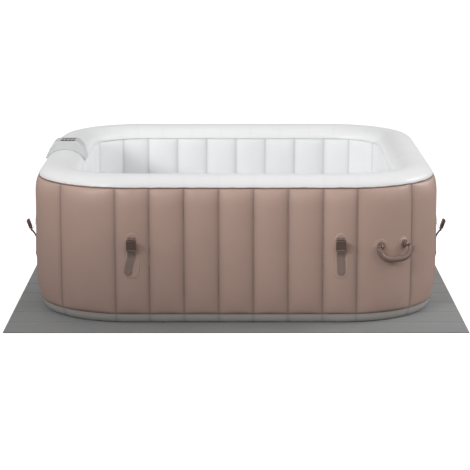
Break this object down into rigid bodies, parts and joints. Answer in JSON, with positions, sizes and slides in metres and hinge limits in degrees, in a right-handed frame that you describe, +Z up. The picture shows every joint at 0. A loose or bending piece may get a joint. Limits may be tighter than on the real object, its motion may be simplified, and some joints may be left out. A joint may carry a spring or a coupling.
{
  "type": "inflatable hot tub",
  "caption": "Square inflatable hot tub with ribbed air-filled walls, an arched rim, lid buckles, carry handles, a rim control panel and a pump and heater built into one wall.",
  "frame": {"origin": "underside of the ground mat, at the centre of the tub", "axes": "+Z up; +Y from the front to the back; +X to the right of someone facing the front; the control panel is on the -X side"},
  "size_m": [2.03, 2.13, 0.706],
  "materials": {
    "outer_vinyl": "satin woven-backed vinyl sheet, taupe brown",
    "white_vinyl": "satin white vinyl sheet",
    "base_vinyl": "satin grey vinyl sheet",
    "ground_mat": "matt grey foam mat",
    "webbing": "woven brown-grey webbing",
    "brown_trim": "satin brown moulded vinyl",
    "buckle_plastic": "satin dark brown plastic",
    "panel_plastic": "satin light grey plastic",
    "key_plastic": "gloss black plastic",
    "dark_plastic": "satin dark grey plastic",
    "steel": "drawn stainless steel",
    "circuit_board": "green coated circuit board"
  },
  "bodies": {
    "tub": {"air_blower": "dark_plastic", "air_pipe": "dark_plastic", "air_ring": "white_vinyl", "back_handle_anchor_left": "brown_trim", "back_handle_anchor_right": "brown_trim", "base_band": "base_vinyl", "bottom_sheet": "base_vinyl", "buckle_strap_back_a": "webbing", "buckle_strap_back_b": "webbing", "buckle_strap_front_a": "webbing", "buckle_strap_front_b": "webbing", "buckle_strap_left_a": "webbing", "buckle_strap_left_b": "webbing", "buckle_strap_right_a": "webbing", "buckle_strap_right_b": "webbing", "circuit_board": "circuit_board", "control_box_case": "dark_plastic", "display_window": "key_plastic", "drain_pipe": "dark_plastic", "drain_strainer": "panel_plastic", "filter_base": "panel_plastic", "front_handle_anchor_left": "brown_trim", "front_handle_anchor_right": "brown_trim", "ground_mat": "ground_mat", "heater_tank": "steel", "inflation_valve_seat": "dark_plastic", "inner_wall": "white_vinyl", "intake_pipe": "dark_plastic", "key_board": "circuit_board", "outer_wall": "outer_vinyl", "panel_housing": "panel_plastic", "pump_cover": "dark_plastic", "pump_housing": "dark_plastic", "return_nozzle": "panel_plastic", "service_frame": "panel_plastic", "top_rim": "white_vinyl", "tub_floor": "white_vinyl", "wall_web": "white_vinyl"},
    "key_1": {"control_key_1": "key_plastic"},
    "key_2": {"control_key_2": "key_plastic"},
    "key_3": {"control_key_3": "key_plastic"},
    "key_4": {"control_key_4": "key_plastic"},
    "socket_front_a": {"buckle_socket_front_a": "buckle_plastic"},
    "socket_front_b": {"buckle_socket_front_b": "buckle_plastic"},
    "socket_right_a": {"buckle_socket_right_a": "buckle_plastic"},
    "socket_right_b": {"buckle_socket_right_b": "buckle_plastic"},
    "socket_back_a": {"buckle_socket_back_a": "buckle_plastic"},
    "socket_back_b": {"buckle_socket_back_b": "buckle_plastic"},
    "socket_left_a": {"buckle_socket_left_a": "buckle_plastic"},
    "socket_left_b": {"buckle_socket_left_b": "buckle_plastic"},
    "front_handle": {"front_handle": "brown_trim"},
    "back_handle": {"back_handle": "brown_trim"},
    "inflation_cap": {"inflation_valve_cap": "dark_plastic"},
    "drain_stopper": {"drain_cap": "dark_plastic"},
    "cartridge": {"filter_cartridge": "white_vinyl"},
    "filter_lid": {"filter_cover": "panel_plastic"},
    "service_door": {"service_cover": "panel_plastic", "cable_gland": "dark_plastic"},
    "impeller": {"pump_impeller": "white_vinyl"},
    "fan": {"blower_fan": "white_vinyl"}
  },
  "joints": [
    {"name": "key_1_press", "type": "slide", "parent": "tub", "child": "key_1", "axis": [0, 0, -1], "range_m": [0, 0.0015], "stiffness_N_per_m": 900, "springref_m": -0.0005},
    {"name": "key_2_press", "type": "slide", "parent": "tub", "child": "key_2", "axis": [0, 0, -1], "range_m": [0, 0.0015], "stiffness_N_per_m": 900, "springref_m": -0.0005},
    {"name": "key_3_press", "type": "slide", "parent": "tub", "child": "key_3", "axis": [0, 0, -1], "range_m": [0, 0.0015], "stiffness_N_per_m": 900, "springref_m": -0.0005},
    {"name": "key_4_press", "type": "slide", "parent": "tub", "child": "key_4", "axis": [0, 0, -1], "range_m": [0, 0.0015], "stiffness_N_per_m": 900, "springref_m": -0.0005},
    {"name": "socket_front_a_swing", "type": "hinge", "parent": "tub", "child": "socket_front_a", "pos_m": [-0.459, -0.947, 0.343], "axis": [1, 0, 0], "range_deg": [-15, 70]},
    {"name": "socket_front_b_swing", "type": "hinge", "parent": "tub", "child": "socket_front_b", "pos_m": [0.459, -0.947, 0.343], "axis": [1, 0, 0], "range_deg": [-15, 70]},
    {"name": "socket_right_a_swing", "type": "hinge", "parent": "tub", "child": "socket_right_a", "pos_m": [0.947, -0.459, 0.343], "axis": [0, 1, 0], "range_deg": [-15, 70]},
    {"name": "socket_right_b_swing", "type": "hinge", "parent": "tub", "child": "socket_right_b", "pos_m": [0.947, 0.459, 0.343], "axis": [0, 1, 0], "range_deg": [-15, 70]},
    {"name": "socket_back_a_swing", "type": "hinge", "parent": "tub", "child": "socket_back_a", "pos_m": [0.459, 0.947, 0.343], "axis": [-1, 0, 0], "range_deg": [-15, 70]},
    {"name": "socket_back_b_swing", "type": "hinge", "parent": "tub", "child": "socket_back_b", "pos_m": [-0.459, 0.947, 0.343], "axis": [-1, 0, 0], "range_deg": [-15, 70]},
    {"name": "socket_left_a_swing", "type": "hinge", "parent": "tub", "child": "socket_left_a", "pos_m": [-0.947, 0.459, 0.343], "axis": [0, -1, 0], "range_deg": [-15, 70]},
    {"name": "socket_left_b_swing", "type": "hinge", "parent": "tub", "child": "socket_left_b", "pos_m": [-0.947, -0.459, 0.343], "axis": [0, -1, 0], "range_deg": [-15, 70]},
    {"name": "front_handle_swing", "type": "hinge", "parent": "tub", "child": "front_handle", "pos_m": [0.69782, -0.87697, 0.352], "axis": [0.8746, 0.4848, 0], "range_deg": [-95, 0]},
    {"name": "back_handle_swing", "type": "hinge", "parent": "tub", "child": "back_handle", "pos_m": [-0.69782, 0.87697, 0.352], "axis": [-0.8746, -0.4848, 0], "range_deg": [-95, 0]},
    {"name": "inflation_cap_lift", "type": "slide", "parent": "tub", "child": "inflation_cap", "axis": [-1, 0, 0], "range_m": [0, 0.045]},
    {"name": "drain_cap_lift", "type": "slide", "parent": "tub", "child": "drain_stopper", "axis": [0, 1, 0], "range_m": [0, 0.045]},
    {"name": "cartridge_lift", "type": "slide", "parent": "tub", "child": "cartridge", "axis": [1, 0, 0], "range_m": [0, 0.1]},
    {"name": "filter_cover_lift", "type": "slide", "parent": "cartridge", "child": "filter_lid", "axis": [1, 0, 0], "range_m": [0, 0.12]},
    {"name": "service_cover_lift", "type": "slide", "parent": "tub", "child": "service_door", "axis": [-1, 0, 0], "range_m": [0, 0.06]},
    {"name": "impeller_spin", "type": "hinge", "parent": "tub", "child": "impeller", "pos_m": [-0.805, -0.0765, 0.2], "axis": [1, 0, 0], "continuous": true},
    {"name": "fan_spin", "type": "hinge", "parent": "tub", "child": "fan", "pos_m": [-0.845, -0.11, 0.425], "axis": [1, 0, 0], "continuous": true}
  ]
}
